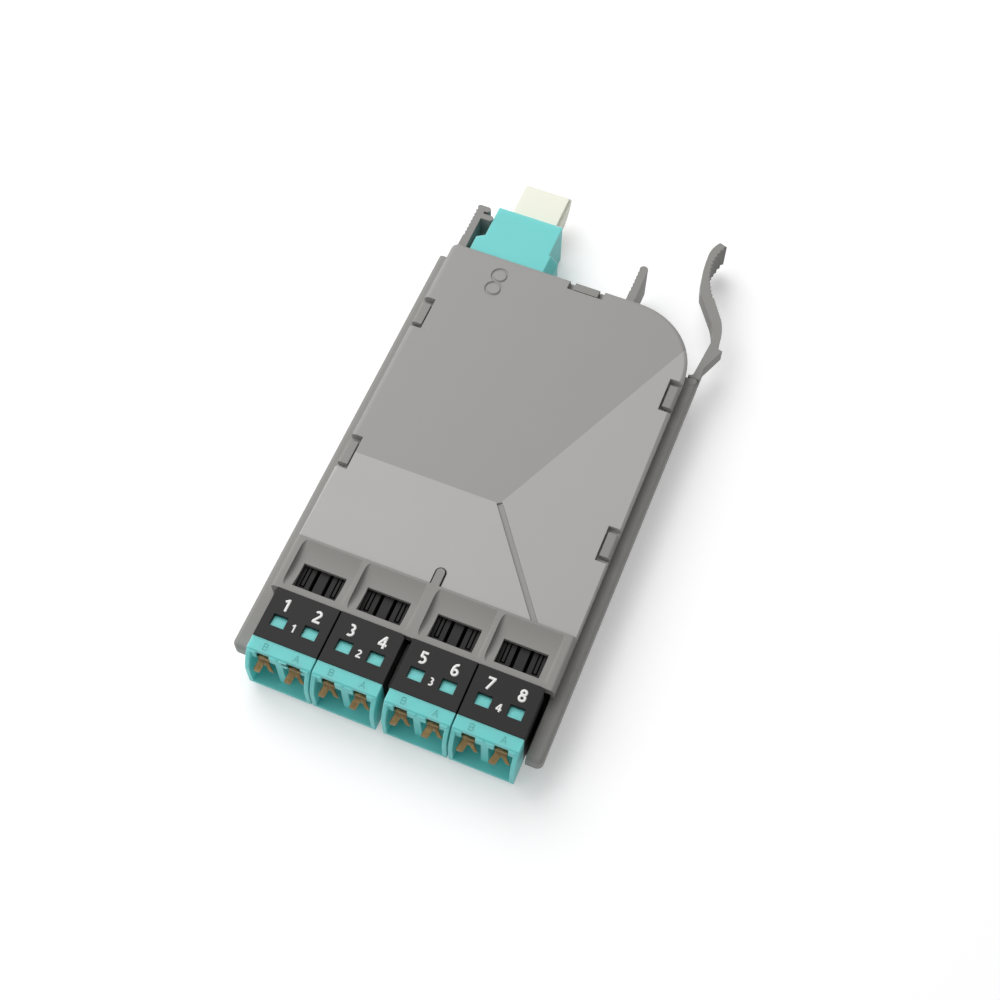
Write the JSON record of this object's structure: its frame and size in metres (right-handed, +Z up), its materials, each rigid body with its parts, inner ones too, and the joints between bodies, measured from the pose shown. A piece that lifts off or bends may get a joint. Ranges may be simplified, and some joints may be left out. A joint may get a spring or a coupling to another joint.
{
  "type": "fibre cassette",
  "caption": "Flat grey fibre cassette with duplex ports with shutters in front, a trunk adapter with dust cap behind, side rails and a squeeze lever.",
  "frame": {"origin": "middle of the tray's flat underside, on the surface it rests on", "axes": "+X to the right seen from the ports, +Y from the ports to the rear, +Z up"},
  "size_m": [0.0634, 0.1258, 0.0125],
  "materials": {
    "housing_grey": "fine satin moulded grey",
    "cover_grey": "satin grey with a finely grained front facet",
    "adapter_aqua": "satin aqua",
    "cap_black": "satin black with white numbers",
    "shutter_bronze": "bronze coloured spring leaf",
    "sleeve_ceramic": "polished white ceramic",
    "connector_black": "satin black",
    "fibre_jacket": "smooth aqua jacket",
    "cap_cream": "satin cream"
  },
  "bodies": {
    "cassette": {"housing_base": "housing_grey", "housing_cover": "cover_grey", "port_adapter_1": "adapter_aqua", "port_cap_1": "cap_black", "port_adapter_2": "adapter_aqua", "port_cap_2": "cap_black", "port_adapter_3": "adapter_aqua", "port_cap_3": "cap_black", "port_adapter_4": "adapter_aqua", "port_cap_4": "cap_black", "alignment_sleeve_1": "sleeve_ceramic", "ferrule_1": "sleeve_ceramic", "inner_connector_1": "connector_black", "fibre_1": "fibre_jacket", "alignment_sleeve_2": "sleeve_ceramic", "ferrule_2": "sleeve_ceramic", "inner_connector_2": "connector_black", "fibre_2": "fibre_jacket", "alignment_sleeve_3": "sleeve_ceramic", "ferrule_3": "sleeve_ceramic", "inner_connector_3": "connector_black", "fibre_3": "fibre_jacket", "alignment_sleeve_4": "sleeve_ceramic", "ferrule_4": "sleeve_ceramic", "inner_connector_4": "connector_black", "fibre_4": "fibre_jacket", "alignment_sleeve_5": "sleeve_ceramic", "ferrule_5": "sleeve_ceramic", "inner_connector_5": "connector_black", "fibre_5": "fibre_jacket", "alignment_sleeve_6": "sleeve_ceramic", "ferrule_6": "sleeve_ceramic", "inner_connector_6": "connector_black", "fibre_6": "fibre_jacket", "alignment_sleeve_7": "sleeve_ceramic", "ferrule_7": "sleeve_ceramic", "inner_connector_7": "connector_black", "fibre_7": "fibre_jacket", "alignment_sleeve_8": "sleeve_ceramic", "ferrule_8": "sleeve_ceramic", "inner_connector_8": "connector_black", "fibre_8": "fibre_jacket", "fan_out_block": "connector_black", "fibre_ribbon": "fibre_jacket", "trunk_plug": "connector_black", "rear_adapter": "adapter_aqua"},
    "lever": {"latch_lever": "housing_grey"},
    "rear_dust_cap": {"dust_cap": "cap_cream"},
    "shutter_1": {"port_shutter_1": "shutter_bronze"},
    "shutter_2": {"port_shutter_2": "shutter_bronze"},
    "shutter_3": {"port_shutter_3": "shutter_bronze"},
    "shutter_4": {"port_shutter_4": "shutter_bronze"},
    "shutter_5": {"port_shutter_5": "shutter_bronze"},
    "shutter_6": {"port_shutter_6": "shutter_bronze"},
    "shutter_7": {"port_shutter_7": "shutter_bronze"},
    "shutter_8": {"port_shutter_8": "shutter_bronze"}
  },
  "joints": [
    {"name": "shutter_1_swing", "type": "hinge", "parent": "cassette", "child": "shutter_1", "pos_m": [-0.02329, -0.05155, 0.01035], "axis": [1, 0, 0], "range_deg": [0, 75], "stiffness_Nm_per_rad": 0.00002, "springref_deg": -28.65},
    {"name": "shutter_2_swing", "type": "hinge", "parent": "cassette", "child": "shutter_2", "pos_m": [-0.01704, -0.05155, 0.01035], "axis": [1, 0, 0], "range_deg": [0, 75], "stiffness_Nm_per_rad": 0.00002, "springref_deg": -28.65},
    {"name": "shutter_3_swing", "type": "hinge", "parent": "cassette", "child": "shutter_3", "pos_m": [-0.01022, -0.05155, 0.01035], "axis": [1, 0, 0], "range_deg": [0, 75], "stiffness_Nm_per_rad": 0.00002, "springref_deg": -28.65},
    {"name": "shutter_4_swing", "type": "hinge", "parent": "cassette", "child": "shutter_4", "pos_m": [-0.00397, -0.05155, 0.01035], "axis": [1, 0, 0], "range_deg": [0, 75], "stiffness_Nm_per_rad": 0.00002, "springref_deg": -28.65},
    {"name": "shutter_5_swing", "type": "hinge", "parent": "cassette", "child": "shutter_5", "pos_m": [0.00397, -0.05155, 0.01035], "axis": [1, 0, 0], "range_deg": [0, 75], "stiffness_Nm_per_rad": 0.00002, "springref_deg": -28.65},
    {"name": "shutter_6_swing", "type": "hinge", "parent": "cassette", "child": "shutter_6", "pos_m": [0.01022, -0.05155, 0.01035], "axis": [1, 0, 0], "range_deg": [0, 75], "stiffness_Nm_per_rad": 0.00002, "springref_deg": -28.65},
    {"name": "shutter_7_swing", "type": "hinge", "parent": "cassette", "child": "shutter_7", "pos_m": [0.01704, -0.05155, 0.01035], "axis": [1, 0, 0], "range_deg": [0, 75], "stiffness_Nm_per_rad": 0.00002, "springref_deg": -28.65},
    {"name": "shutter_8_swing", "type": "hinge", "parent": "cassette", "child": "shutter_8", "pos_m": [0.02329, -0.05155, 0.01035], "axis": [1, 0, 0], "range_deg": [0, 75], "stiffness_Nm_per_rad": 0.00002, "springref_deg": -28.65},
    {"name": "lever_squeeze", "type": "hinge", "parent": "cassette", "child": "lever", "pos_m": [0.02937, 0.036, 0.007], "axis": [0, 0, 1], "range_deg": [0, 8], "stiffness_Nm_per_rad": 0.02},
    {"name": "dust_cap_pull", "type": "slide", "parent": "cassette", "child": "rear_dust_cap", "axis": [0, 1, 0], "range_m": [0, 0.02]}
  ]
}
